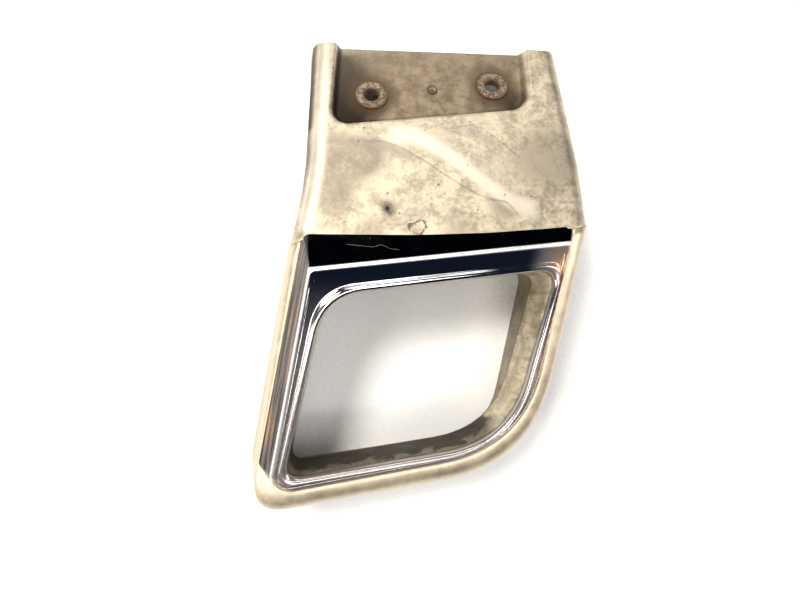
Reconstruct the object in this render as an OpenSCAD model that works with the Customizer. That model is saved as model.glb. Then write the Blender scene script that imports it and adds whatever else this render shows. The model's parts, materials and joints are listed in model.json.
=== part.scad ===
// Exhaust finisher for a vehicle bumper: a folded sheet shell with a joggled
// mounting flange, a polished slanted mouth frame and an inner duct liner.
// It lies on its open back: the rear rim is the plane z = 0, +Y points to the
// mounting flange and +Z points out of the mouth.

/* [Mounting plate] */
// Height of the plate's top face where it meets the mouth frame
plate_height = 54; // [50:0.5:58]
// Downward slope of the plate towards the flange end, in degrees
plate_slope = 20; // [18:0.5:21]
// Distance from the plate's foot to the middle of its end edge
flange_reach = 99.5; // [95:0.5:101]
// Skew of the end edge across the plate, in degrees
end_skew = 7; // [4:0.5:9]
// Width of the plate where it meets the mouth frame
plate_foot_width = 122.7; // [122:0.1:124]
// Width of the plate where the skirts begin to flare
plate_width = 126.8; // [125:0.2:128]
// Distance from the plate's foot to where the skirts begin to flare
flare_reach = 32; // [26:1:36]
// Lean of the plate's left edge beyond there, sideways travel per unit of reach
left_lean = 0.133; // [0.12:0.001:0.14]
// Lean of the plate's right edge beyond there
right_lean = 0.065; // [0.06:0.001:0.08]
// Radius of the two outer corners of the flange
ear_r = 5; // [3:0.5:7]
// Radius of the rolled shoulders along the plate's long edges
shoulder_r = 7; // [5:0.5:9]
// Sheet thickness
sheet = 1.6; // [1.2:0.1:2]

/* [Flange recess] */
// Depth of the joggled recess below the plate
recess_depth = 6; // [5:0.25:7]
// Distance from the plate's foot to the recess's near edge, along the plate
recess_start = 65; // [62:0.5:68]
// Width of the recess at its near edge
recess_width = 95; // [90:1:98]
// Radius of the recess's inner corners
recess_r = 9; // [6:0.5:11]

/* [Threaded inserts] */
// Distance between the two inserts
insert_spacing = 60; // [56:1:64]
// Distance of the inserts from the plate's foot, along the plate
insert_reach = 83.8; // [81:0.2:85]
// Outer radius of an insert's head
head_r = 8; // [7:0.25:8.5]
// Thickness of an insert's head
head_t = 1.2; // [0.8:0.1:1.5]
// Radius of the threaded hole's wall
thread_r = 3.4; // [3.2:0.1:3.6]
// Outer radius of an insert's barrel
barrel_r = 5.5; // [5.2:0.1:6]
// Length of an insert from its head's face
insert_length = 4.5; // [4.4:0.1:6]

/* [Mouth frame] */
// Height of the mouth plane above the origin of the plate's foot
mouth_height = 61.3; // [60:0.1:63]
// Slope of the mouth towards its near end, in degrees
mouth_pitch = 12; // [11:0.5:13]
// Fall of the mouth towards +X, per unit of width
mouth_roll = 0.064; // [0.05:0.002:0.075]
// Length of the ridge's top edge
ridge_width = 110.5; // [108:0.5:112]
// Lean of the mouth's sides, sideways travel per unit of length
mouth_lean = 0.35; // [0.34:0.005:0.36]
// Width of the clear mouth across its top
lip_width = 103; // [100:0.5:104]
// Length of the clear mouth from top to near edge
lip_length = 77; // [74:0.5:78]
// Width of the face between the ridge and the lip at the top
face_top = 11; // [9:0.5:12]
// Width of the rounded bead around the lip
bead = 3; // [2:0.25:3.5]

/* [Duct liner] */
// Thickness of the liner's wall
liner_t = 1.2; // [1:0.1:1.5]
// Length of the liner behind the lip
liner_length = 27.5; // [24:0.5:29]

/* [Back] */
// Thickness of the rear frame
frame_t = 2; // [1.5:0.25:2.5]
// Thickness of the rear sleeve's wall
sleeve_t = 1.2; // [1:0.1:1.5]
// Thickness of the doubler under the flange
doubler_t = 1.2; // [1:0.1:1.4]

/* [Hidden] */

// Points in each rounded corner of a loft
corner_steps = 8;
// Names for a frame's corners, in order
TL = 0; TR = 1; BR = 2; BL = 3;

function mix(a, b, t) = a + (b - a) * t;
function unit(v) = v / norm(v);
function plate_z(y) = plate_height - tan(plate_slope) * y;
function mouth_z(x, y) = mouth_height - mouth_roll * x + tan(mouth_pitch) * y;

// A point of the mouth plane, lowered by depth
function on_mouth(x, y, depth) = [x, y, mouth_z(x, y) - depth];

// Corners of a leaning frame in the mouth plane, from the left end of its top edge
function mouth_quad(x, y, width, length, depth) = [
    on_mouth(x, y, depth),
    on_mouth(x + width, y, depth),
    on_mouth(x + width - mouth_lean * length, y - length, depth),
    on_mouth(x - mouth_lean * length, y - length, depth)];

// Where the lines p + s*u and q + t*v cross in plan
function cross_at(p, u, q, v) =
    let (s = ((q[0] - p[0]) * v[1] - (q[1] - p[1]) * v[0]) / (u[0] * v[1] - u[1] * v[0]))
    [p[0] + s * u[0], p[1] + s * u[1]];

// A frame moved inwards by d in plan and lowered; corners run clockwise
function inset(c, d, drop = 0) = let (n = len(c)) [for (k = [0 : n - 1])
    let (prev = c[(k + n - 1) % n], next = c[(k + 1) % n],
         u = unit([c[k][0] - prev[0], c[k][1] - prev[1]]),
         v = unit([next[0] - c[k][0], next[1] - c[k][1]]),
         hit = cross_at([prev[0] + u[1] * d, prev[1] - u[0] * d], u,
                        [c[k][0] + v[1] * d, c[k][1] - v[0] * d], v))
    [hit[0], hit[1], c[k][2] - drop]];

// A closed ring of points around a frame, each corner rounded by its tangent length.
// A four-cornered frame gets twice the points at BL, where others have two corners.
function ring(c, r) = let (n = len(c)) [for (k = [0 : n - 1])
    let (p = c[k],
         a = p + unit(c[(k + n - 1) % n] - p) * r[k],
         b = p + unit(c[(k + 1) % n] - p) * r[k],
         steps = n == 4 && k == BL ? 2 * corner_steps + 1 : corner_steps)
    for (i = [0 : steps])
        let (t = i / steps) mix(mix(a, p, t), mix(p, b, t), t)];

// The ring part of the way round a rolled shoulder, from the wall up to the crown
function roll_ring(wall, crown, angle) = [for (i = [0 : len(wall) - 1])
    let (w = wall[i], c = crown[i], across = 1 - cos(angle), up = sin(angle))
    [mix(w[0], c[0], across), mix(w[1], c[1], across), mix(w[2], c[2], up)]];

function flatten(lists) = [for (l = lists) for (p = l) p];

// A closed tube whose wall section runs through the given rings and back to the first
module ring_loft(rings) {
    n = len(rings[0]);
    m = len(rings);
    polyhedron(flatten(rings), [for (j = [0 : m - 1], i = [0 : n - 1])
        let (a = j * n + i, b = j * n + (i + 1) % n,
             c = ((j + 1) % m) * n + (i + 1) % n, d = ((j + 1) % m) * n + i)
        each [[a, b, c], [a, c, d]]]);
}

// A closed block through the given rings, bottom ring first, capped at both ends
module block_loft(rings) {
    n = len(rings[0]);
    m = len(rings);
    ends = [for (g = [rings[0], rings[m - 1]]) [for (k = [0 : 2]) [for (p = g) p[k]] * [for (p = g) 1] / n]];
    polyhedron(concat(flatten(rings), ends), concat(
        [for (j = [0 : m - 2], i = [0 : n - 1])
            let (a = j * n + i, b = j * n + (i + 1) % n) each [[a, b, b + n], [a, b + n, a + n]]],
        [for (i = [0 : n - 1]) [(i + 1) % n, i, m * n]],
        [for (i = [0 : n - 1]) [(m - 1) * n + i, (m - 1) * n + (i + 1) % n, m * n + 1]]));
}

// Frames of the mouth, all clockwise from the top left
ridge_x = -65.5; // left end of the ridge's top edge
ridge_y = -6;
ridge = [on_mouth(ridge_x, ridge_y, 0),
         on_mouth(ridge_x + ridge_width, ridge_y - 0.5, 0),
         on_mouth(18.5, -95.8, 0.3),
         on_mouth(-90.5, -97, 0.3),
         on_mouth(-94.3, -90, 0)];
ridge_r = [1, 2, 38, 4, 1];
lip = mouth_quad(ridge_x + 2.7, ridge_y - face_top, lip_width, lip_length, 3);
lip_r = [17, 10, 31, 9];
bead_out = inset(lip, -bead, -0.5);
bead_out_r = [18, 11, 33, 9];
bead_top = inset(lip, -bead / 2, -1.7);
lip_low = inset(lip, 0, 2.5);
liner_low = inset(lip, 0, liner_length + 2.5);

// The crown line, where the satin shell ends and the polished frame begins
crown = [[-66.6, 9.8, plate_z(9.8)], [49, 1, plate_z(1)], on_mouth(20, -97.8, 1.2),
         on_mouth(-92, -99.2, 1.2), [-99.8, -86, 41]];
crown_r = [1.5, 5, 40, 7, 1.5];
// The top of the outer walls, where the shoulder starts
wall = [[-65.2, 41.5, plate_z(41.5) - shoulder_r], [57.4, 1.5, plate_z(1.5) - shoulder_r],
        [24.5, -107.5, 30], [-107, -108.8, 37]];
wall_r = [14, 3, 44, 17];
// The rear rim
rim = [[-67.4, 46, 0], [58.5, 1.5, 0], [26, -108.5, 0], [-114.5, -109, 0]];
rim_r = [16, 3, 46, 22];

function shell_rings(d, drop, rise) =
    let (low = ring(inset(wall, d, 0), wall_r), high = ring(inset(crown, d, -rise), crown_r))
    [ring(inset(rim, d, drop), rim_r), low, roll_ring(low, high, 30), roll_ring(low, high, 60), high];

// Left and right edges of the mounting plate at three stations along its slope
plate_far = flange_reach / cos(plate_slope) + 14;
flare_left = -66;
flare_right = flare_left + plate_width;
foot_left = -66.5;
plate_stations = [
    [-1.5, foot_left, foot_left + plate_foot_width],
    [flare_reach, flare_left, flare_right],
    [plate_far, flare_left + left_lean * (plate_far - flare_reach),
     flare_right + right_lean * (plate_far - flare_reach)]];
// How far the skirts stand out at the rear rim
skirt_flare = 1;

// Ends of the flange's outer edge
end_left = flare_left - skirt_flare + left_lean * (flange_reach / cos(plate_slope) - flare_reach);
end_right = flare_right + skirt_flare + right_lean * (flange_reach / cos(plate_slope) - flare_reach);

// The middle of the whole part's plan, measured from the middle of the plate's foot
centre = [(min([for (p = ring(rim, rim_r)) p[0]]) + end_right) / 2,
          (rim[BR][1] + flange_reach - tan(end_skew) * end_left) / 2];

// Frame with x across, y along the plate's slope and z out of its top face
module on_plate() {
    translate([0, 0, plate_height]) rotate([-plate_slope, 0, 0]) children();
}

module move_to_centre() {
    translate([-centre[0], -centre[1], 0]) children();
}

// The plate's block, with rolled shoulders, shrunk by d for the inside
module plate_block(d, bottom) {
    hull() {
        on_plate() for (s = plate_stations, x = [s[1] + shoulder_r, s[2] - shoulder_r])
            translate([x, s[0] - d, -shoulder_r]) rotate([-90, 0, 0])
                cylinder(h = 0.1, r = shoulder_r - d, $fn = 32);
        translate([0, 0, bottom]) linear_extrude(0.1) polygon(concat(
            [for (s = plate_stations) [s[1] - skirt_flare + d, s[0] * cos(plate_slope) - 2 * d]],
            [for (k = [2 : -1 : 0]) let (s = plate_stations[k])
                [s[2] + skirt_flare - d, s[0] * cos(plate_slope) - 2 * d]]));
    }
}

// Everything on the near side of the flange's end edge, which has rounded corners
module end_cut() {
    near = -150;
    linear_extrude(100) hull() {
        for (x = [end_left + ear_r, end_right - ear_r])
            translate([x, flange_reach - tan(end_skew) * x - ear_r / cos(end_skew)])
                circle(ear_r, $fn = 40);
        translate([end_left - 40, near]) square([end_right - end_left + 80, 1]);
        translate([end_left - 20, flare_reach]) square([1, 1]);
        translate([end_right + 10, flare_reach]) square([1, 1]);
    }
}

// Rounded plan of the recess, grown by g; it runs out past the end edge
module recess_plan(g) {
    lean = 0.18;
    r = recess_r + g;
    x0 = -recess_width / 2 - 4 - g;
    x1 = recess_width / 2 - 4 + g;
    y0 = recess_start - g;
    hull() {
        translate([x0 + r + lean * r, y0 + r]) circle(r, $fn = 48);
        translate([x1 - r + lean * r / 2, y0 + r]) circle(r, $fn = 48);
        translate([x0 + lean * 70, y0 + 70]) square([r, 1]);
        translate([x1 - r + lean * 60, y0 + 70]) square([r, 1]);
    }
}

module recess_block(g, depth) {
    on_plate() translate([0, 0, -depth]) linear_extrude(depth + 5) recess_plan(g);
}

// Stamped outer shell: plate with recess and ears, skirts and outer walls
module outer_shell() {
    color([0.86, 0.81, 0.72]) move_to_centre() difference() {
        union() {
            intersection() {
                plate_block(0, 0);
                end_cut();
            }
            block_loft(shell_rings(0, 0, 0));
        }
        difference() {
            plate_block(sheet, -30);
            recess_block(sheet, recess_depth + sheet);
        }
        block_loft(concat(shell_rings(sheet, 2, 0), [ring(inset(crown, sheet, -9), crown_r)]));
        recess_block(0, recess_depth);
        for (x = [-1, 1]) insert_place(x) translate([0, 0, -10]) cylinder(h = 20, r = barrel_r);
        dot_place() translate([0, 0, -10]) cylinder(h = 20, r = 2.2);
    }
}

// Polished frame: bevelled outside, sharp ridge, sloping face and beaded lip
module mouth_bezel() {
    skin = 1.4;
    color([0.62, 0.64, 0.68]) move_to_centre() ring_loft([
        ring(crown, crown_r),
        ring(ridge, ridge_r),
        ring(bead_out, bead_out_r),
        ring(bead_top, lip_r),
        ring(lip, lip_r),
        ring(lip_low, lip_r),
        ring(inset(lip_low, -liner_t), lip_r),
        ring(inset(lip, -bead, 0.8), bead_out_r),
        ring(inset(ridge, skin, skin), ridge_r),
        ring(inset(crown, skin), crown_r)]);
}

// Inner duct, straight back from the lip and open at both ends
module duct_liner() {
    color([0.6, 0.5, 0.36]) move_to_centre() ring_loft([
        ring(inset(lip_low, -liner_t), lip_r),
        ring(inset(liner_low, -liner_t), lip_r),
        ring(liner_low, lip_r),
        ring(lip_low, lip_r)]);
}

// Plan of the duct at the rear rim, and the rear frame's outer edge
rear_in = [[-66, -14.5, 0], [41.3, -14.5, 0], [12.5, -97, 0], [-94.6, -97, 0]];
rear_in_r = [8, 9, 24, 6];
rear_out = let (e = inset(rim, sheet + 0.6)) [[-82.2, -8, 0], [50.8, -8, 0], e[BR], e[BL]];
function plan(points) = [for (p = points) [p[0], p[1]]];

// Sleeve that carries the duct on from the liner's end to the rear rim
module rear_sleeve() {
    color([0.5, 0.5, 0.38]) move_to_centre() ring_loft([
        ring(inset(liner_low, -sleeve_t), lip_r),
        ring(inset(rear_in, -sleeve_t), rear_in_r),
        ring(rear_in, rear_in_r),
        ring(liner_low, lip_r)]);
}

// Flat frame that closes the gap between the sleeve and the outer walls
module rear_frame() {
    color([0.45, 0.39, 0.31]) move_to_centre() linear_extrude(frame_t) difference() {
        polygon(plan(ring(rear_out, [1, 1, 46, 22])));
        polygon(plan(ring(inset(rear_in, -sleeve_t), rear_in_r)));
    }
}

// Frame of an insert: origin in the recess's face, z along the hole
module insert_place(side) {
    on_plate() translate([side * insert_spacing / 2, insert_reach, -recess_depth]) children();
}

module dot_place() {
    on_plate() translate([0, insert_reach, -recess_depth]) children();
}

// Flat plate spot-welded under the recess, behind both inserts
module doubler_plate() {
    color([0.55, 0.48, 0.4]) move_to_centre() difference() {
        dot_place() translate([-recess_width / 2 + 6, -11, -sheet - doubler_t])
            cube([recess_width - 12, 22, doubler_t]);
        for (x = [-1, 1]) insert_place(x) translate([0, 0, -10]) cylinder(h = 20, r = barrel_r);
        dot_place() translate([0, 0, -10]) cylinder(h = 20, r = 2.2);
    }
}

// Flanged steel insert with a crimped lip behind the doubler
module threaded_insert() {
    grip = sheet + doubler_t;
    difference() {
        union() {
            cylinder(h = head_t, r = head_r);
            translate([0, 0, head_t - insert_length]) cylinder(h = insert_length, r = barrel_r);
            translate([0, 0, head_t - insert_length])
                cylinder(h = insert_length - head_t - grip, r = barrel_r + 0.8);
        }
        translate([0, 0, -insert_length]) cylinder(h = 2 * insert_length, r = thread_r);
    }
}

module left_insert() {
    color([0.78, 0.72, 0.6]) move_to_centre() insert_place(-1) threaded_insert();
}

module right_insert() {
    color([0.78, 0.72, 0.6]) move_to_centre() insert_place(1) threaded_insert();
}

// Plug weld that joins the doubler to the flange between the inserts
module centre_plug_weld() {
    color([0.5, 0.4, 0.3]) move_to_centre() dot_place() {
        translate([0, 0, -sheet - doubler_t]) cylinder(h = sheet + doubler_t + 0.3, r = 2.2);
    }
}

outer_shell();
mouth_bezel();
duct_liner();
rear_sleeve();
rear_frame();
doubler_plate();
left_insert();
right_insert();
centre_plug_weld();
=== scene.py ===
# %% [markdown]
# # An exhaust finisher in satin and polished stainless steel
# The object is the steel surround of a vehicle's exhaust outlet. It lies on its open back.
# The imported CAD model fixes every size. This lesson gives it the looks of the real object:
# softly pressed sheet, a mirror-polished mouth frame, a heat-stained duct and rusty inserts.
# First the frame is loaded.

# %% Load the imported model
import json
import math

import bpy
import numpy as np
from mathutils import Matrix, Vector


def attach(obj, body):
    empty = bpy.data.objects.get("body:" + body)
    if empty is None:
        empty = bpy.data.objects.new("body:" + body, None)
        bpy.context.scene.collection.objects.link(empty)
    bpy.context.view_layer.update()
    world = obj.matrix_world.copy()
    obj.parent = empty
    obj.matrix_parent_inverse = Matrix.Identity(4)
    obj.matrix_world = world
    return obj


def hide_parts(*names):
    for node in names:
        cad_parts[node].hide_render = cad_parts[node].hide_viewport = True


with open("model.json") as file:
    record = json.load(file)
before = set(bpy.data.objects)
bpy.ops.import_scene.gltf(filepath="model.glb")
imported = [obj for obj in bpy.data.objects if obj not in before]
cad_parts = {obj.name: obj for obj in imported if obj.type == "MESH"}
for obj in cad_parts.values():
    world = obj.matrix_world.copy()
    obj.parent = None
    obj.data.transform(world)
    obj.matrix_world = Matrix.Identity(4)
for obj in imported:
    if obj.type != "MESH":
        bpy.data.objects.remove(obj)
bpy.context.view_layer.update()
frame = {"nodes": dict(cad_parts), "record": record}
record = frame["record"]
mounts = {m["name"]: m for m in record["mounts"]}
print("nodes:", sorted(frame["nodes"]))

# %% [markdown]
# ## Working in the maker's millimetres
# The maker measures from the middle of the plate's foot, in millimetres: x across, y towards
# the flange and z up. The row frame is centred on the whole part and in metres. The shift
# between the two comes from the two threaded inserts, whose places are known in both.

# %% Units and the shift between the two frames
MM = 0.001
SLOPE = math.radians(20)
PLATE_HEIGHT = 54.0
INSERT_REACH, INSERT_RISE = 83.8, -4.8
left_mouth = Vector(mounts["left_insert_thread"]["pos_m"])
right_mouth = Vector(mounts["right_insert_thread"]["pos_m"])
mid_mouth = (left_mouth + right_mouth) / 2
shift_x = mid_mouth.x / MM
shift_y = mid_mouth.y / MM - (INSERT_REACH * math.cos(SLOPE) + INSERT_RISE * math.sin(SLOPE))
print("shift to the row frame, mm:", round(shift_x, 2), round(shift_y, 2))


def to_row(points):
    """The maker's millimetres as metres in the row frame."""
    p = np.asarray(points, dtype=float)
    return (p + np.array([shift_x, shift_y, 0.0])) * MM


# %% [markdown]
# ## Camera
# The camera looks almost straight down, a little from the near left. It is made first, so that
# every piece can be looked at as soon as it exists. Its three directions are built from where it
# looks and which way is up in the picture.

# %% Camera
def unit(v):
    return np.asarray(v, dtype=float) / np.linalg.norm(v)


look = unit([0.11261, -0.01495, -0.99353])
across = unit(np.cross(look, [0.11643, 0.99320, -0.00175]))
upward = np.cross(across, look)
camera_data = bpy.data.cameras.new("camera")
camera_data.lens = 24.58
camera_data.sensor_width = 36.0
camera_data.clip_start, camera_data.clip_end = 0.01, 20.0
camera = bpy.data.objects.new("camera", camera_data)
bpy.context.collection.objects.link(camera)
place = Matrix([list(across), list(upward), list(-look)]).transposed().to_4x4()
place.translation = Vector(to_row([-57.63, -18.86, 283.25]))
camera.matrix_world = place
bpy.context.scene.camera = camera
print("camera at", [round(v, 4) for v in camera.location])

# %% [markdown]
# ## Shader maths as expressions
# A material is a graph of nodes, and most of its nodes are plain arithmetic. This small class
# wraps a socket, so that `1 - mask * 0.5` adds the Math nodes by itself. Every other node comes
# from `Finish.node`, which sets the node's own settings first and its sockets after.

# %% The socket class and the material builder
class Wire:
    """One value in a material, with arithmetic."""

    def __init__(self, finish, socket):
        self.finish, self.socket = finish, socket

    def math(self, operation, *others):
        return self.finish.node(
            "ShaderNodeMath", {"operation": operation}, {0: self, **dict(enumerate(others, 1))})

    def __add__(self, other):
        return self.math("ADD", other)

    def __sub__(self, other):
        return self.math("SUBTRACT", other)

    def __mul__(self, other):
        return self.math("MULTIPLY", other)

    def __rsub__(self, other):
        return self.finish.node("ShaderNodeMath", {"operation": "SUBTRACT"}, {0: other, 1: self})

    __radd__ = __add__
    __rmul__ = __mul__

    def abs(self):
        return self.math("ABSOLUTE")

    def sqrt(self):
        return self.math("SQRT")

    def least(self, other):
        return self.math("MINIMUM", other)

    def most(self, other):
        return self.math("MAXIMUM", other)

    def ramp(self, low, high, start=0.0, end=1.0):
        """From start at low to end at high, with a soft S between."""
        return self.finish.node(
            "ShaderNodeMapRange", {"interpolation_type": "SMOOTHSTEP"},
            {"Value": self, "From Min": low, "From Max": high, "To Min": start, "To Max": end})


class Finish:
    """A material, its nodes and its principled shader."""

    def __init__(self, name, metallic, roughness, coat=0.0):
        self.material = bpy.data.materials.new(name)
        self.material.use_nodes = True
        self.tree = self.material.node_tree
        self.shader = self.tree.nodes["Principled BSDF"]
        self.shader.inputs["Metallic"].default_value = metallic
        self.shader.inputs["Roughness"].default_value = roughness
        self.shader.inputs["Coat Weight"].default_value = coat
        place = self.node("ShaderNodeTexCoord", {}, {}, out="Object")
        self.place = self.node(
            "ShaderNodeVectorMath", {"operation": "MULTIPLY_ADD"},
            {0: place, 1: (1 / MM,) * 3, 2: (-shift_x, -shift_y, 0.0)}, out="Vector")
        parts = self.tree.nodes.new("ShaderNodeSeparateXYZ")
        self.feed(parts.inputs[0], self.place)
        self.x, self.y, self.z = (Wire(self, s) for s in parts.outputs)

    def feed(self, socket, value):
        if isinstance(value, Wire):
            self.tree.links.new(value.socket, socket)
        elif isinstance(value, tuple) and len(value) == 3 and len(socket.default_value) == 4:
            socket.default_value = (*value, 1.0)
        else:
            socket.default_value = value

    def node(self, kind, settings, values, out=0):
        made = self.tree.nodes.new(kind)
        for key, value in settings.items():
            setattr(made, key, value)
        for key, value in values.items():
            self.feed(made.inputs[key], value)
        return Wire(self, made.outputs[out])

    def noise(self, scale, detail=3.0, stretch=(1.0, 1.0, 1.0), shift=(0.0, 0.0, 0.0), rough=0.5, twist=0.0):
        """Cloudy noise about 0.5; scale is in blobs per millimetre."""
        at = self.node("ShaderNodeVectorMath", {"operation": "MULTIPLY_ADD"},
                       {0: self.place, 1: stretch, 2: shift}, out="Vector")
        return self.node("ShaderNodeTexNoise", {}, {
            "Vector": at, "Scale": scale, "Detail": detail, "Roughness": rough,
            "Distortion": twist}, out="Fac")

    def cells(self, scale, shift=(0.0, 0.0, 0.0)):
        """Distance to the nearest of many scattered points, in cells."""
        at = self.node("ShaderNodeVectorMath", {"operation": "ADD"}, {0: self.place, 1: shift}, out="Vector")
        return self.node("ShaderNodeTexVoronoi", {}, {"Vector": at, "Scale": scale}, out="Distance")

    def blend(self, mask, a, b):
        """Colour a where the mask is 0, b where it is 1."""
        return self.node("ShaderNodeMix", {"data_type": "RGBA"}, {0: mask, 6: a, 7: b}, out=2)

    def near(self, x, y, radius, soft, squash=1.0):
        """A round spot in plan: 1 inside the radius, fading over soft."""
        dx, dy = self.x - x, (self.y - y) * squash
        return (dx * dx + dy * dy).sqrt().ramp(radius, radius + soft, 1.0, 0.0)

    def wear(self, colour=None, roughness=None, metallic=None, height=None, depth=0.1, coat=None):
        """Connects what varies over the surface; height is a bump, depth its size in mm."""
        for name, value in (("Base Color", colour), ("Roughness", roughness),
                            ("Metallic", metallic), ("Coat Weight", coat)):
            if value is not None:
                self.feed(self.shader.inputs[name], value)
        if height is not None:
            bump = self.node("ShaderNodeBump", {}, {"Height": height, "Distance": depth * MM}, out="Normal")
            self.feed(self.shader.inputs["Normal"], bump)
        return self.material


print("shader helpers ready")

# %% [markdown]
# ## Floor and light
# The part lies on a pale bench. One big soft lamp stands at the far left, so the mouth's far left
# wall throws a soft shadow inwards. The polished frame mirrors whatever is above it, so the sky is
# a dark blue studio ceiling: that is what makes mirror-polished steel look dark.

# %% Floor
def mesh_object(name, points, faces, smooth=True):
    mesh = bpy.data.meshes.new(name)
    mesh.from_pydata([tuple(p) for p in points], [], [tuple(f) for f in faces])
    mesh.validate()
    if smooth:
        mesh.shade_smooth()
    made = bpy.data.objects.new(name, mesh)
    bpy.context.collection.objects.link(made)
    print(name, len(mesh.vertices), "points", len(mesh.polygons), "faces")
    return made


floor_half = 3.0
floor = mesh_object(
    "floor", [(-floor_half, -floor_half, 0), (floor_half, -floor_half, 0),
              (floor_half, floor_half, 0), (-floor_half, floor_half, 0)], [(0, 1, 2, 3)])
bench = Finish("pale_bench", metallic=0.0, roughness=0.75)
grain = bench.noise(0.35, detail=2.0)
floor.data.materials.append(bench.wear(
    colour=bench.blend(grain, (0.86, 0.86, 0.85), (0.92, 0.92, 0.91)), height=grain, depth=0.5))

# %% Lights and sky
def soft_lamp(name, at, aim, size, watts, tint):
    lamp_data = bpy.data.lights.new(name, "AREA")
    lamp_data.shape = "RECTANGLE"
    lamp_data.size, lamp_data.size_y = size
    lamp_data.energy = watts
    lamp_data.color = tint
    lamp = bpy.data.objects.new(name, lamp_data)
    bpy.context.collection.objects.link(lamp)
    lamp.location = at
    lamp.rotation_euler = (Vector(aim) - Vector(at)).to_track_quat("-Z", "Y").to_euler()
    return lamp


soft_lamp("key_lamp", (-0.62, 0.62, 1.35), (0, 0, 0), (0.5, 0.45), 24.0, (1.0, 0.97, 0.92))
soft_lamp("far_lamp", (0.25, 2.0, 1.35), (0, 0.1, 0), (1.4, 0.5), 11.0, (1.0, 0.97, 0.93))
soft_lamp("left_lamp", (-1.6, -0.5, 1.2), (0, 0, 0), (0.5, 1.4), 16.0, (1.0, 0.97, 0.93))
soft_lamp("right_lamp", (1.6, -0.35, 1.3), (0, 0, 0), (0.4, 1.4), 17.0, (0.98, 0.98, 1.0))
soft_lamp("ridge_lamp", (0.3, 0.12, 1.7), (0, 0, 0), (1.8, 0.22), 4.5, (1.0, 0.99, 0.97))
soft_lamp("near_lamp", (0.1, -0.9, 1.9), (0, 0, 0), (0.9, 0.3), 10.0, (1.0, 0.98, 0.95))
world = bpy.data.worlds.new("studio")
world.use_nodes = True
world.node_tree.nodes["Background"].inputs["Color"].default_value = (0.018, 0.026, 0.055, 1.0)
world.node_tree.nodes["Background"].inputs["Strength"].default_value = 0.4
bpy.context.scene.world = world
bpy.context.scene.view_settings.view_transform = "Standard"

# %% [markdown]
# ## Rings: the way this part is drawn
# The mouth is a stack of rings: each is a frame of four or five corners in plan, with every corner
# rounded. Neighbouring rings are joined by a skin of quads. Boxes and booleans would leave hard
# seams; rings give the long slow curves of pressed sheet, and a tight pair of rings makes a crisp
# polished edge. These helpers are the same geometry that the CAD uses, with more points.

# %% Ring helpers
CORNER = 18


def mix(a, b, t):
    return a + (b - a) * t


def plate_z(y):
    return PLATE_HEIGHT - math.tan(SLOPE) * y


def on_mouth(x, y, depth):
    """A point of the slanted mouth plane, lowered by depth."""
    return np.array([x, y, 61.3 - 0.064 * x + math.tan(math.radians(12)) * y - depth])


def inset(corners, d, drop=0.0):
    """The frame moved inwards by d in plan and lowered."""
    n, moved = len(corners), []
    for k in range(n):
        before, here, after = corners[k - 1], corners[k], corners[(k + 1) % n]
        u, v = unit((here - before)[:2]), unit((after - here)[:2])
        p = before[:2] + d * np.array([u[1], -u[0]])
        q = here[:2] + d * np.array([v[1], -v[0]])
        s = ((q[0] - p[0]) * v[1] - (q[1] - p[1]) * v[0]) / (u[0] * v[1] - u[1] * v[0])
        moved.append(np.array([*(p + s * u), here[2] - drop]))
    return moved


def ring(corners, radii, side=12):
    """Points around a rounded frame. A four-cornered frame gets as many as a five-cornered one."""
    n, points = len(corners), []
    for k in range(n):
        here, before, after = corners[k], corners[k - 1], corners[(k + 1) % n]
        a = here + unit(before - here) * radii[k]
        b = here + unit(after - here) * radii[k]
        steps = 2 * CORNER + 1 + side if n == 4 and k == 3 else CORNER
        for i in range(steps + 1):
            t = i / steps
            points.append(mix(mix(a, here, t), mix(here, b, t), t))
        nxt = corners[(k + 1) % n]
        end = nxt + unit(here - nxt) * radii[(k + 1) % n]
        points += [mix(b, end, i / (side + 1)) for i in range(1, side + 1)]
    return np.array(points)


def skin(rings, around=True, closed=False):
    """Quads between rings; around joins each ring's ends, closed joins the last ring to the first."""
    n, m = len(rings[0]), len(rings)
    faces = []
    for j in range(m if closed else m - 1):
        for i in range(n if around else n - 1):
            a, b = j * n, ((j + 1) % m) * n
            faces.append((a + i, a + (i + 1) % n, b + (i + 1) % n, b + i))
    return faces


print("points in one ring:", len(ring([np.array(p, float) for p in
      [(0, 9, 0), (9, 9, 0), (9, 0, 0), (0, 0, 0)]], [1, 1, 1, 1])))

# %% Frames of the mouth, clockwise from the top left
SHEET = 1.6
ridge = [on_mouth(-67.4, -6, 0), on_mouth(45, -6.5, 0), on_mouth(18.5, -95.8, 0.3),
         on_mouth(-90.5, -97, 0.3), on_mouth(-94.3, -90, 0)]
ridge_r = [1, 2, 38, 4, 1]
lip = [on_mouth(-62.8, -17, 3), on_mouth(40.2, -17, 3),
       on_mouth(40.2 - 0.35 * 77, -94, 3), on_mouth(-62.8 - 0.35 * 77, -94, 3)]
lip_r = [17, 10, 31, 9]
bead_r = [18, 11, 33, 9]
crown = [np.array(p) for p in (
    (-69.2, 9.8, plate_z(9.8) - 0.3), (49, 1, plate_z(1)), on_mouth(20, -97.8, 1.2),
    on_mouth(-92, -99.2, 1.2), (-99.8, -86, 41))]
crown_r = [1.5, 5, 40, 7, 1.5]
wall = [np.array(p) for p in (
    (-65.2, 41.5, plate_z(41.5) - 7), (57.4, 1.5, plate_z(1.5) - 7), (24.5, -107.5, 30.0), (-107, -108.8, 37.0))]
wall_r = [14, 3, 44, 17]
rim = [np.array(p, float) for p in ((-67.4, 46, 0), (58.5, 1.5, 0), (26, -108.5, 0), (-114.5, -109, 0))]
rim_r = [16, 3, 46, 22]


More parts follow.
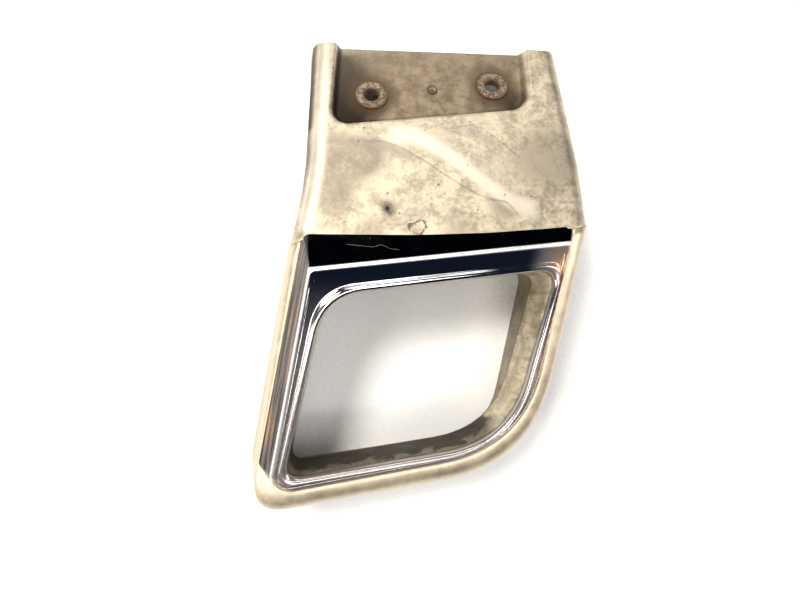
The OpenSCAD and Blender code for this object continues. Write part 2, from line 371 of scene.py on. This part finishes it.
def bowed(points):
    """The far edge of the frame is not quite straight: it bows towards the mouth in its middle."""
    bent = np.array(points)
    shift = np.interp(bent[:, 0], [-70.0, -50.0, -20.0, 10.0, 35.0, 52.0], [0.9, -0.1, -1.5, -1.6, -0.7, 0.2])
    shift *= np.clip((bent[:, 1] + 4.0) / 4.0, 0, 1)
    bent[:, 1] += shift
    bent[:, 2] -= math.tan(SLOPE) * shift
    return bent


print("clear mouth, mm:", 103, "by", 77)

# %% [markdown]
# ## Satin shell: plate, recess and skirts
# The real plate is one pressed sheet: a sloping top with soft rolled shoulders, skirts down both
# sides and a joggled recess where the bracket sits. A fine grid fits it best. Each line of the grid
# runs from the left rim, up the skirt, over the shoulder, across the top and down the right side.
# The recess is a smooth sinking of the grid, so its edges come out soft, as pressed edges are.

# %% Plate grid
SHOULDER = 7.0
END_SKEW = math.tan(math.radians(7))
FLANGE_REACH = 99.5
EAR = 5.0
FLARE_REACH, SKIRT_FLARE = 32.0, 1.0
FLARE_LEFT, FLARE_RIGHT = -66.0, 60.8
LEFT_LEAN, RIGHT_LEAN = 0.133, 0.065
END_REACH = FLANGE_REACH / math.cos(SLOPE)
PLATE_FAR = END_REACH + 14.0
END_LEFT = FLARE_LEFT - SKIRT_FLARE + LEFT_LEAN * (END_REACH - FLARE_REACH)
END_RIGHT = FLARE_RIGHT + SKIRT_FLARE + RIGHT_LEAN * (END_REACH - FLARE_REACH)


def plate_edges(v):
    """Left and right edge of the plate at distance v down its slope; the left one widens at the foot."""
    far_left = FLARE_LEFT + LEFT_LEAN * (PLATE_FAR - FLARE_REACH)
    far_right = FLARE_RIGHT + RIGHT_LEAN * (PLATE_FAR - FLARE_REACH)
    left = np.interp(v, [0, 10, 22, 34, 46, PLATE_FAR], [-76.6, -74.1, -70.6, -67.3, -64.8, far_left])
    return left, np.interp(v, [-1.5, FLARE_REACH, PLATE_FAR], [56.2, FLARE_RIGHT, far_right])


def recess_sink(x, v):
    """0 on the plate and 1 on the recess's floor, at x and v along the slope."""
    left, right, near, r = -51.5 + 0.18 * (v - 65), 43.5 + 0.154 * (v - 65), 65.0, 9.0
    qx, qy = np.maximum(left - x, x - right) + r, near - v + r
    gap = np.hypot(np.maximum(qx, 0), np.maximum(qy, 0)) + np.minimum(np.maximum(qx, qy), 0) - r
    t = np.clip((1.2 - gap) / 3.4, 0, 1)
    return t * t * (3 - 2 * t)


def end_line(x):
    """Where the flange ends, with its two rounded ears."""
    edge = np.minimum(x - END_LEFT, END_RIGHT - x)
    dip = np.clip(EAR - edge, 0, EAR)
    return FLANGE_REACH - END_SKEW * x - (EAR - np.sqrt(np.maximum(EAR ** 2 - dip ** 2, 0)))


def foot_line(x):
    """The near end of the plate, tucked just under the polished frame."""
    return np.interp(x, [-75.0, -66.6, -50.0, -20.0, 10.0, 35.0, 49.0, 57.0],
                     [6.5, 8.0, 7.0, 3.1, 0.9, -0.1, 0.2, 0.9])


def plate_section(steps_top=170, steps_down=10, steps_roll=12):
    """One line across: how far in from an edge, how far down, and how much it flares."""
    rows = [("left", 0.0, 1.0 - k / steps_down, 0.0) for k in range(steps_down)]
    rows += [("left", a, 0.0, 0.0) for a in np.linspace(0, 90, steps_roll)]
    rows += [("top", k / steps_top, 0.0, 0.0) for k in range(1, steps_top)]
    rows += [("right", a, 0.0, 0.0) for a in np.linspace(90, 0, steps_roll)]
    return rows + [("right", 0.0, (k + 1) / steps_down, 0.0) for k in range(steps_down)]


def plate_grid(steps_along=150):
    section = plate_section()
    points = []
    for j in range(steps_along + 1):
        t = j / steps_along
        line = []
        for side, along, down, _ in section:
            guess = {"left": -62.0, "right": 61.0}.get(side, mix(-60.0, 60.0, along))
            for _ in range(2):
                y = mix(float(foot_line(guess)), float(end_line(guess)), t)
                v = y / math.cos(SLOPE)
                left, right = plate_edges(v)
                if side == "top":
                    x, sunk = mix(left + SHOULDER, right - SHOULDER, along), 0.0
                else:
                    sign = 1 if side == "left" else -1
                    edge = left if side == "left" else right
                    x = edge + sign * SHOULDER * (1 - math.cos(math.radians(along)))
                    sunk = SHOULDER * (1 - math.sin(math.radians(along)))
                guess = x
            z = plate_z(y) - sunk / math.cos(SLOPE)
            if side == "top":
                z -= 6.0 / math.cos(SLOPE) * float(recess_sink(x, v))
            if down > 0:
                z *= 1 - down
                flare = float(np.interp(v, [0, 12, 46], [5.6, 4.6, 1.0])) if side == "left" else -1.0
                x -= down * flare
            line.append((x, y, z))
        points.append(line)
    return np.array(points)


grid = plate_grid()
print("plate grid", grid.shape)

# %% [markdown]
# ## Satin shell: the walls around the mouth
# The walls stand almost upright on the rear rim and roll over into the crown, the line where the
# satin sheet meets the polished frame. The strip starts and ends inside the plate's own skirts, so
# the two surfaces meet as they do in the pressing. Solidify then gives the sheet its thickness.

# %% Walls and the finished shell
def roll(low, high, angle):
    """The ring part of the way round the rolled shoulder."""
    up, across_part = math.sin(math.radians(angle)), 1 - math.cos(math.radians(angle))
    return np.column_stack([mix(low[:, 0], high[:, 0], across_part), mix(low[:, 1], high[:, 1], across_part),
                            mix(low[:, 2], high[:, 2], up)])


def wall_strip():
    """Rings from the rear rim to the crown, cut open between the plate's two edges."""
    tiny = 0.4
    far_left = [np.array([-79.2, 9.8, 0.0]), np.array([-74.0, 9.8, plate_z(9.8) - 7.4]), crown[0]]
    base = ring([far_left[0]] + rim[1:], [tiny, tiny, *rim_r[2:]])
    low = ring([far_left[1]] + wall[1:], [tiny, tiny, *wall_r[2:]])
    edge = [far_left[2]] + crown[1:]
    edge_r = [tiny, tiny, *crown_r[2:]]
    high = ring(edge, edge_r)
    rings = [mix(base, low, t) for t in np.linspace(0, 1, 9)]
    rings += [roll(low, high, a) for a in np.linspace(9, 90, 10)]
    rings.append(ring(inset(edge, 3.0, 1.6), edge_r))
    skip = 2 * CORNER + 12 + 1
    return [np.concatenate([r[skip:], r[:1]]) for r in rings]


walls = wall_strip()
plate_points = grid.reshape(-1, 3)
wall_points = np.concatenate(walls)
INSERT_HALF_SPACING, INSERT_Y, CUT_RADIUS = 30.0, 76.7, 4.7
plate_faces = []
for face in skin(list(grid), around=False):
    mx, my, _ = plate_points[list(face)].mean(axis=0)
    if math.hypot(abs(mx) - INSERT_HALF_SPACING, my - INSERT_Y) > CUT_RADIUS:
        plate_faces.append(face)
wall_faces = [tuple(i + len(plate_points) for i in reversed(f)) for f in skin(walls, around=False)]
shell_points = to_row(np.concatenate([plate_points, wall_points]))
shell = mesh_object("shell_sheet", shell_points, plate_faces + wall_faces)
thick = shell.modifiers.new("sheet thickness", "SOLIDIFY")
thick.thickness = SHEET * MM
thick.offset = -1.0
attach(shell, "root")
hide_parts("outer_shell")

# %% [markdown]
# ## Polished mouth frame
# From outside in: a steep bevel up to a sharp ridge, a face that falls gently, a fat bead and the
# lip. Each crisp edge is a pair of rings under half a millimetre apart, which gives the thin bright
# line that a polished edge shows.

# %% Mouth frame
def bezel_rings():
    outer, top = bowed(ring(crown, [3.5] + crown_r[1:])), ring(ridge, ridge_r)
    bead_out = ring(inset(lip, -3.0, -0.5), bead_r)
    rings = [outer - [0, 0, 0.5], outer]
    rings += [mix(outer, top, t) + [0, 0, 0.1 * math.sin(math.pi * t)]
              for t in (0.04, 0.35, 0.65, 0.86, 0.93)]
    rings += [mix(outer, top, 0.97) - [0, 0, 0.1], mix(top, bead_out, 0.01) - [0, 0, 0.25],
              mix(top, bead_out, 0.06) - [0, 0, 0.1], mix(top, bead_out, 0.12)]
    rings += [mix(top, bead_out, t) - [0, 0, 0.35 * math.sin(math.pi * t)] for t in (0.35, 0.65, 0.9)]
    for a in np.linspace(0, 180, 12):
        t = (1 - math.cos(math.radians(a))) / 2
        lift = 1.25 * math.sin(math.radians(a))
        frame_here = inset(lip, -3.0 * (1 - t), -mix(0.5, 0.0, t) - lift)
        rings.append(ring(frame_here, [mix(p, q, t) for p, q in zip(bead_r, lip_r)]))
    low = inset(lip, 0, 2.5)
    rings += [ring(low, lip_r), ring(inset(low, -1.2), lip_r)]
    rings += [ring(inset(lip, -3.0, 0.8), bead_r), ring(inset(ridge, 1.4, 1.4), ridge_r),
              bowed(ring(inset(crown, 1.4, 0.4), crown_r))]
    return rings


bezel_stack = bezel_rings()
bezel_points = to_row(np.concatenate(bezel_stack))
bezel = mesh_object("polished_mouth_frame", bezel_points, skin(bezel_stack, closed=True))
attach(bezel, "root")
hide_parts("mouth_bezel")

# %% [markdown]
# ## Duct liner
# A thin sleeve goes straight back from the lip. Its walls are slightly wavy, because hot thin sheet
# never stays flat, and its free end is folded over for stiffness.

# %% Duct liner
def liner_rings():
    t_wall, length = 1.2, 27.5
    low = inset(lip, 0, 2.5)
    inner = [ring(inset(low, 0.15 * math.sin(3 * t), length * t), lip_r) for t in np.linspace(0, 0.96, 10)]
    inner.append(ring(inset(low, -0.1, length * 0.99), lip_r))
    inner.append(ring(inset(low, -0.5, length), lip_r))
    outer = [ring(inset(low, -t_wall, length * t), lip_r) for t in (1.0, 0.99, 0.5, 0.0)]
    return outer[::-1] + inner[::-1]


liner_stack = liner_rings()
liner = mesh_object("duct_sleeve", to_row(np.concatenate(liner_stack)), skin(liner_stack, closed=True))
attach(liner, "root")
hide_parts("duct_liner")

# %% [markdown]
# ## Threaded inserts and the weld spot
# A rivet nut has a thin pressed head with a soft edge, a countersunk thread and a collar that is
# crushed behind the sheet. It is turned work, so it is a profile spun around the hole's axis, with
# the thread drawn as grooves. The weld spot is a low dimple with a raised rim, spun the same way.

# %% Turned pieces
def spin(name, profile, origin, axis, count=96):
    """The closed profile of (radius, height) in mm, spun around axis through origin."""
    turn = Vector((0, 0, 1)).rotation_difference(Vector(axis))
    rings = []
    for k in range(count):
        a = 2 * math.pi * k / count
        rings.append([Vector(origin) + turn @ Vector((r * math.cos(a), r * math.sin(a), h)) * MM
                      for r, h in profile])
    return mesh_object(name, [p for line in rings for p in line], skin(rings, around=True, closed=True))


def insert_profile():
    """Radius and height of a flanged insert: flange, countersink, thread grooves and crimped lip."""
    bore, barrel, head, back = 3.4, 5.5, 8.0, -4.5
    thread = []
    for k in range(3):
        h = -0.75 - 1.0 * k
        thread += [(bore + 0.02, h), (bore + 0.45, h - 0.5)]
    outside = [(barrel, back + 0.3), (barrel + 0.7, back + 0.1), (barrel + 0.75, -4.1), (barrel, -3.8),
               (barrel, -1.4), (head - 0.2, -1.2), (head, -0.9), (head - 0.05, -0.5), (head - 0.6, -0.15)]
    face = [(head - 1.6, 0.0), (6.0, -0.02), (4.9, -0.05), (4.4, -0.2), (3.8, -0.55)]
    return outside + face + thread + [(bore, -3.8), (bore + 0.4, back)]


insert_profile_points = insert_profile()
for side, mount in (("left", "left_insert_thread"), ("right", "right_insert_thread")):
    piece = spin(side + "_rivet_nut", insert_profile_points, mounts[mount]["pos_m"], mounts[mount]["axis"])
    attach(piece, "root")
    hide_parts(side + "_insert")

flange_axis = Vector(mounts["left_insert_thread"]["axis"])
dot_at = mid_mouth - flange_axis * 1.2 * MM
weld = spin("weld_spot", [(0.01, -2.8), (2.2, -2.8), (2.35, -0.1), (2.3, 0.2), (2.0, 0.35), (1.6, 0.2),
                          (1.0, -0.05), (0.01, -0.1)], dot_at, flange_axis, count=48)
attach(weld, "root")
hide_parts("centre_plug_weld")

# %% [markdown]
# ## Satin stainless
# Pickled sheet is neither matt nor shiny. Over the years water has left a pale curved tide mark
# down the plate, dull grey patches and small black pits. The recess floor is darker, and painted
# shade darkens it most in its left corner. Rust has bled from the inserts. The light on the left
# shoulder is a painted highlight and the dark line on the left edge is painted shade. All of it is
# drawn in plan, in the maker's millimetres, and the grain is fine noise in the bump and the roughness.

# %% Satin stainless
def satin_finish():
    f = Finish("satin_stainless", metallic=0.8, roughness=0.42)
    broad = f.noise(0.035, detail=4.0, rough=0.6)
    mottle = f.noise(0.13, detail=8.0, rough=0.72)
    fine = f.noise(1.1, detail=4.0, rough=0.7)
    grit = f.noise(0.55, detail=5.0, rough=0.8)
    on_plate = (f.y + f.x * 0.076).ramp(1.0, 6.0)
    edge = (mottle - 0.5) * 9.0 + (grit - 0.5) * 4.0

    plate_colour = f.blend(mottle.ramp(0.40, 0.60), (0.40, 0.33, 0.235), (0.80, 0.69, 0.50))
    plate_colour = f.blend(broad.ramp(0.42, 0.62) * 0.5, plate_colour, (0.50, 0.43, 0.33))
    plate_colour = f.blend(grit.ramp(0.42, 0.62) * 0.35, plate_colour, (0.92, 0.82, 0.63))
    wall_colour = f.blend(mottle.ramp(0.3, 0.7), (0.60, 0.49, 0.34), (0.80, 0.69, 0.50))
    colour = f.blend(on_plate, wall_colour, plate_colour)

    dull = f.near(-50, 42, 8, 12) + f.near(-37, 44, 4, 9) + f.near(-54, 24, 3, 9)
    dull = dull + f.near(46, 34, 8, 16) * 0.7
    dull = dull + f.near(20, 13, 2, 8) * 0.8 + f.near(-40, 9, 2, 8) * 0.6 + f.near(-2, 6, 2, 8) * 0.5
    patches = dull.least(1.0) * (mottle.ramp(0.38, 0.6) * 0.6 + 0.4)
    colour = f.blend(patches * 0.85, colour, (0.29, 0.245, 0.18))

    # Each mark follows an S-shaped line across the plate; the factor on the height above it
    # stands for the line's slope.
    pale = (f.y - f.x.ramp(-20.0, 36.0, 52.5, 10.0)).abs() * 0.75 + edge * 0.45
    band = pale.ramp(1.2, 5.4, 1.0, 0.0) * f.x.ramp(-27.5, -23.0) * f.x.ramp(36.0, 31.5)
    colour = f.blend(band * 0.75, colour, (0.96, 0.87, 0.70))
    above = (f.y - f.x.ramp(-34.0, 22.0, 50.5, 15.5) + f.x.ramp(20.0, 28.0, 0.0, 10.0)) * 0.78
    tide = (above.abs() + (mottle - 0.5) * 2.0).ramp(0.1, 0.7, 1.0, 0.0)
    tide = tide * f.x.ramp(-36.6, -36.0) * f.x.ramp(26.6, 26.0)
    colour = f.blend(tide * 0.5, colour, (0.22, 0.17, 0.12))
    shade = ((above + 1.8).abs() + edge * 0.2).ramp(0.5, 4.0, 1.0, 0.0)
    shade = shade * f.x.ramp(-40.0, -36.5) * f.x.ramp(-14.5, -17.5)
    colour = f.blend(shade * 0.6, colour, (0.36, 0.31, 0.25))

    # A lens-shaped mark, drawn with one axis down its length and one across it
    down = (f.x - 14.0) * 0.8 - (f.y - 47.0) * 0.6
    across = (f.x - 14.0) * 0.6 + (f.y - 47.0) * 0.8
    upper = (across - down.ramp(-18.0, -2.0, -4.0, 6.4) + down.ramp(0.0, 30.0, 0.0, 5.6)).abs()
    lower = (across + down * down * 0.012 + 0.8).abs()
    rim_wobble = (mottle - 0.5) * 2.5
    lens = (upper + rim_wobble).ramp(0.1, 0.8, 1.0, 0.0) * down.ramp(-15.5, -14.8) * down.ramp(21.4, 20.7)
    rim_below = (lower + rim_wobble).ramp(0.1, 0.7, 1.0, 0.0)
    lens = lens + rim_below * down.ramp(-15.2, -14.5) * down.ramp(12.4, 11.8)
    colour = f.blend(lens.least(1.0) * 0.4, colour, (0.25, 0.20, 0.14))
    middle = (across - down.ramp(-14.0, -3.0, -3.0, 2.1)).abs() + edge * 0.3
    lens_fill = middle.ramp(1.5, 4.5, 1.0, 0.0) * down.ramp(-16.0, -12.0) * down.ramp(9.5, 5.7)
    colour = f.blend(lens_fill * 0.4, colour, (0.42, 0.36, 0.28))

    # A painted highlight along the left shoulder, and painted shade on the left edge beside it.
    left_edge = ((f.y - 9.4) * 0.275 - 74.1).least((f.y - 43.2) * 0.151 - 64.8)
    inwards = f.x - left_edge
    shoulder_light = inwards.ramp(1.8, 3.4) * inwards.ramp(6.5, 11.0, 1.0, 0.0) * f.y.ramp(8.0, 14.0)
    colour = f.blend(shoulder_light * 0.75, colour, (1.0, 0.92, 0.75))
    left_edge_shade = inwards.ramp(0.4, 2.6, 1.0, 0.0) * f.y.ramp(14.0, 40.0)
    colour = f.blend(left_edge_shade * 0.85, colour, (0.085, 0.058, 0.034))

    dent = f.near(-31.5, 17.2, 0.4, 4.6, squash=0.8) * grit.ramp(0.3, 0.62, 0.25, 1.0)
    colour = f.blend(dent, colour, (0.09, 0.08, 0.065))
    core = f.near(-31.8, 17.6, 0.5, 1.0)
    colour = f.blend(core * 0.8, colour, (0.015, 0.015, 0.012))
    ring_gap = ((f.x + 19.5) * (f.x + 19.5) + (f.y - 8.6) * (f.y - 8.6)).sqrt()
    ring_gap = ring_gap + (f.noise(0.22, detail=3.0) - 0.5) * 9.0
    swirl = (ring_gap - 3.2).abs().ramp(0.25, 1.0, 1.0, 0.0) * grit.ramp(0.36, 0.5)
    colour = f.blend(swirl * 0.85, colour, (0.11, 0.09, 0.07))

    deep = (f.z + math.tan(SLOPE) * f.y - PLATE_HEIGHT) * -1.0
    in_recess = deep.ramp(0.6, 4.6) * f.y.ramp(58.0, 61.0) * deep.ramp(8.6, 7.8)
    in_recess = in_recess * f.z.ramp(9.0, 12.0) * f.x.ramp(54.5, 52.0)
    floor_colour = f.blend(mottle.ramp(0.35, 0.65), (0.17, 0.125, 0.078), (0.36, 0.285, 0.185))
    colour = f.blend(in_recess * 0.92, colour, floor_colour)
    # Painted shade in the recess, darkest in its left corner, with two softer spots at its right end.
    corner = f.near(-46, 68, 8, 18) + f.near(-44, 86, 8, 16) * 0.95 + f.x.ramp(-47.0, -35.0, 0.9, 0.0)
    corner = corner + f.near(42, 66, 3, 12) * 0.6 + f.near(30, 66, 4, 12) * 0.35
    colour = f.blend(corner.least(1.0) * in_recess * 0.97, colour, (0.014, 0.009, 0.005))
    for x in (-30.0, 30.0):
        colour = f.blend(f.near(x, 77.0, 8.4, 7.0) * 0.7, colour, (0.07, 0.045, 0.024))
        colour = f.blend(f.near(x, 77.0, 8.0, 0.8) * 0.9, colour, (0.12, 0.04, 0.01))
    colour = f.blend(f.near(0.0, 77.3, 2.2, 0.9) * 0.8, colour, (0.06, 0.04, 0.03))

    pits = (f.cells(0.13) + (fine - 0.5) * 0.06).ramp(0.03, 0.07, 1.0, 0.0) * on_plate
    pits = pits.most(f.cells(0.08, shift=(5.0, 9.0, 2.0)).ramp(0.02, 0.045, 1.0, 0.0) * on_plate)
    colour = f.blend(pits * 0.9, colour, (0.05, 0.04, 0.03))
    skirt = f.z.ramp(2.0, 26.0, 0.4, 0.0)
    colour = f.blend(skirt, colour, (0.42, 0.34, 0.25))
    rough = mottle.ramp(0.35, 0.7, 0.38, 0.5) + fine.ramp(0.3, 0.7, -0.03, 0.05) + in_recess * 0.1
    height = fine * 0.5 + mottle * 1.2 - pits * 1.5 - dent * 3.0 - swirl * 0.8
    return f.wear(colour=colour, roughness=rough, height=height, depth=0.1)


shell.data.materials.append(satin_finish())
print("satin nodes:", len(shell.data.materials[0].node_tree.nodes))

# %% [markdown]
# ## Mirror polish
# Polished stainless shows its surroundings: pale metal, little roughness, hairline scratches and dried
# water marks. Some of what it would mirror is painted instead, as painted reflection: the far bevel
# is dark, the left bevel has dark streaks, the right bevel and a top right patch are brown, and the ridges are a
# pale, less metallic painted highlight.

# %% Mirror polish
def polish_finish():
    f = Finish("polished_stainless", metallic=1.0, roughness=0.07)
    cloud = f.noise(0.07, detail=3.0, twist=0.8)
    fine = f.noise(1.4, detail=3.0)
    scratch_field = f.noise(0.5, detail=2.0, stretch=(0.12, 2.6, 1.0), twist=0.4)
    hairs = (scratch_field - 0.5).abs().ramp(0.0, 0.012, 1.0, 0.0)
    marks = f.cells(0.22, shift=(3.0, 1.0, 0.0)).ramp(0.04, 0.07, 1.0, 0.0)
    film = cloud.ramp(0.45, 0.68)
    lean = f.x - f.y * 0.32
    arris = f.x + 67.4 + (f.y + 6.0) * 0.114
    colour = f.blend(film * 0.3, (0.72, 0.73, 0.76), (0.50, 0.43, 0.36))

    # Painted reflection: the far bevel is coloured near black.
    far_bevel = (f.y + 6.2 + f.x * 0.005).ramp(0.3, 1.1) * arris.ramp(-0.1, 0.3)
    colour = f.blend(far_bevel, colour, (0.05, 0.06, 0.06))
    # Painted reflection: the right bevel is tinted brown.
    right_bevel = (f.x - 0.30 * f.y).ramp(45.8, 46.6) * (1.0 - far_bevel)
    brown = f.blend(f.noise(0.4, detail=3.0).ramp(0.4, 0.6), (0.10, 0.045, 0.015), (0.55, 0.36, 0.20))
    colour = f.blend(right_bevel * 0.6, colour, brown)

    # Painted reflection: a brown patch near the top right corner, which is also a little rougher and less
    # metallic.
    top_right_reflection = f.near(44, -13, 4, 15) * cloud.ramp(0.3, 0.55, 0.4, 1.0) * (1.0 - far_bevel)
    colour = f.blend(top_right_reflection * 0.85, colour, (0.50, 0.33, 0.21))

    # Painted reflection: dark streaks with a gold tint on the left bevel.
    left_bevel = lean.ramp(-66.0, -65.3, 1.0, 0.0) * arris.ramp(-0.1, 0.3, 1.0, 0.0) * f.y.ramp(-93.5, -91.0)
    leaning = f.node("ShaderNodeCombineXYZ", {}, {0: lean, 1: f.y * 0.03, 2: 0.0}, out="Vector")
    streaks = f.node("ShaderNodeTexNoise", {}, {"Vector": leaning, "Scale": 0.8, "Detail": 4.0}, out="Fac")
    streaked_reflection = f.blend(streaks.ramp(0.42, 0.56), (0.02, 0.017, 0.016), (0.17, 0.13, 0.11))
    streaked_reflection = f.blend(streaks.ramp(0.58, 0.64), streaked_reflection, (0.42, 0.22, 0.07))
    colour = f.blend(left_bevel, colour, streaked_reflection)

    haze = (f.y + f.x * 0.1).ramp(-14.0, -60.0) * (1.0 - left_bevel)
    colour = f.blend(haze * 0.75, colour, (0.44, 0.36, 0.32))
    # Painted highlight: pale, less metallic lines along the far and left ridges.
    ridge_far = (f.y + 6.2 + f.x * 0.005).abs().ramp(0.5, 1.3, 1.0, 0.0) * lean.ramp(-66.6, -65.4)
    ridge_far = ridge_far * f.x.ramp(51.0, 46.0)
    ridge_left = (lean + 65.4).abs().ramp(0.35, 1.0, 1.0, 0.0) * f.y.ramp(-4.0, -7.0)
    bright = (ridge_far * 0.85 + ridge_left * 0.7).least(1.0)
    colour = f.blend(bright, colour, (0.97, 0.95, 0.95))
    kink = (f.x + 37.0).abs().ramp(0.0, 4.0, 1.4, 0.0)
    zigzag = ((f.y + f.x * 0.227 + 8.3 - kink).abs() + (fine - 0.5) * 0.25).ramp(0.02, 0.14, 1.0, 0.0)
    zigzag = zigzag * f.x.ramp(-52.0, -51.5) * f.x.ramp(-29.7, -30.2)
    colour = f.blend((marks * 0.35 + zigzag * 0.5).least(1.0), colour, (0.6, 0.58, 0.55))

    rough = film * 0.05 + hairs * 0.05 + marks * 0.2 + zigzag * 0.4 + top_right_reflection * 0.16 + left_bevel * 0.2
    rough = rough + haze * 0.17 + bright * 0.25 + 0.05
    metal = 1.0 - haze * 0.2 - bright * 0.5 - left_bevel * 0.15 - top_right_reflection * 0.3
    return f.wear(colour=colour, roughness=rough, metallic=metal,
                  height=cloud * 0.6 + fine * 0.03 - hairs * 0.02, depth=0.02)


bezel.data.materials.append(polish_finish())
print("polish nodes:", len(bezel.data.materials[0].node_tree.nodes))

# %% [markdown]
# ## Heat, soot and rust
# The duct has taken a straw-coloured temper stain, with soot where the gas was coldest, towards the
# free end. The dull frame behind it is oxidised grey-brown. The inserts still have flakes of pale
# plating over orange rust.

# %% Duct and frame finishes
def heat_finish():
    f = Finish("heat_stained_steel", metallic=0.7, roughness=0.45)
    cloud = f.noise(0.09, detail=5.0, rough=0.65, twist=0.5)
    fine = f.noise(0.9, detail=4.0, rough=0.7)
    streak = f.noise(0.5, detail=3.0, stretch=(1.0, 1.0, 0.12))
    colour = f.blend(cloud.ramp(0.35, 0.7), (0.42, 0.35, 0.22), (0.95, 0.84, 0.62))
    colour = f.blend(streak.ramp(0.45, 0.75) * 0.5, colour, (0.22, 0.16, 0.10))
    depth = 61.3 - 0.064 * f.x + math.tan(math.radians(12)) * f.y - f.z
    near_side = (f.y + f.x * 0.12 + (cloud - 0.5) * 16.0).ramp(-92.0, -80.0, 1.0, 0.0)
    soot = (depth + (cloud - 0.5) * 40.0).ramp(8.0, 24.0) * (near_side * 0.8 + 0.2)
    soot = (soot + near_side * 0.65).least(1.0)
    colour = f.blend(soot * 0.95, colour, (0.022, 0.015, 0.008))
    black = f.near(-3, -96, 2, 12) * depth.ramp(18.0, 26.0)
    colour = f.blend(black * 0.9, colour, (0.01, 0.008, 0.006))
    top_line = depth.ramp(5.5, 6.8, 1.0, 0.0)
    colour = f.blend(top_line * 0.8, colour, (0.03, 0.025, 0.02))
    specks = f.cells(0.35).ramp(0.05, 0.1, 1.0, 0.0)
    colour = f.blend(specks * 0.6, colour, (0.06, 0.04, 0.03))
    rough = cloud.ramp(0.3, 0.7, 0.36, 0.58) + soot * 0.15
    return f.wear(colour=colour, roughness=rough, height=fine * 0.6 + cloud * 1.5 + specks * 0.6, depth=0.15)


def dull_finish():
    f = Finish("dull_steel", metallic=0.55, roughness=0.5)
    cloud = f.noise(0.08, detail=5.0, rough=0.65)
    fine = f.noise(1.2, detail=4.0, rough=0.7)
    rust = (f.noise(0.16, detail=4.0, shift=(40.0, 0.0, 0.0)) + (fine - 0.5) * 0.3).ramp(0.58, 0.72)
    colour = f.blend(cloud.ramp(0.35, 0.65), (0.16, 0.13, 0.09), (0.32, 0.27, 0.19))
    colour = f.blend(rust * 0.7, colour, (0.20, 0.09, 0.035))
    rough = cloud.ramp(0.3, 0.7, 0.4, 0.6) + rust * 0.15
    return f.wear(colour=colour, roughness=rough, height=fine + rust * 0.8, depth=0.1)


def rusty_finish():
    f = Finish("rusty_zinc_steel", metallic=0.35, roughness=0.5)
    flakes = f.noise(0.55, detail=5.0, rough=0.7, twist=0.5)
    fine = f.noise(2.2, detail=3.0)
    bare = None
    for x in (-30.0, 30.0):
        dx, dy = f.x - x, (f.y - 77.1) * 1.06
        gap = (dx * dx + dy * dy).sqrt()
        bare = gap if bare is None else bare.least(gap)
    rim_rust = bare.ramp(6.7, 7.9)
    hole_rust = bare.ramp(4.7, 3.9)
    spots = flakes.ramp(0.48, 0.57)
    rust = (rim_rust + hole_rust + spots).least(1.0)
    orange = f.blend(fine.ramp(0.3, 0.7), (0.045, 0.02, 0.008), (0.16, 0.075, 0.03))
    plating = f.blend(fine.ramp(0.35, 0.65), (0.13, 0.10, 0.065), (0.43, 0.355, 0.245))
    colour = f.blend(rust * 0.85, plating, orange)
    rough = rust.ramp(0.0, 1.0, 0.38, 0.8)
    metal = rust.ramp(0.0, 1.0, 0.4, 0.0)
    return f.wear(colour=colour, roughness=rough, metallic=metal, height=fine * 0.4 - spots * 1.2, depth=0.15)


def weld_finish():
    f = Finish("burnt_weld", metallic=0.5, roughness=0.5)
    fine = f.noise(1.5, detail=4.0)
    dx, dy = f.x, (f.y - 77.3) * 1.06
    gap = (dx * dx + dy * dy).sqrt()
    middle = f.blend(fine, (0.20, 0.13, 0.09), (0.34, 0.23, 0.16))
    colour = f.blend(gap.ramp(1.5, 2.1), middle, (0.05, 0.035, 0.025))
    return f.wear(colour=colour, height=fine, depth=0.1)


liner.data.materials.append(heat_finish())
weld.data.materials.append(weld_finish())
rusty = rusty_finish()
for side in ("left", "right"):
    bpy.data.objects[side + "_rivet_nut"].data.materials.append(rusty)
dull = dull_finish()
for name in ("rear_sleeve", "rear_frame", "doubler_plate"):
    for slot_of_node in frame["nodes"][name].material_slots:
        slot_of_node.material = dull
print("finishes:", [m.name for m in bpy.data.materials])
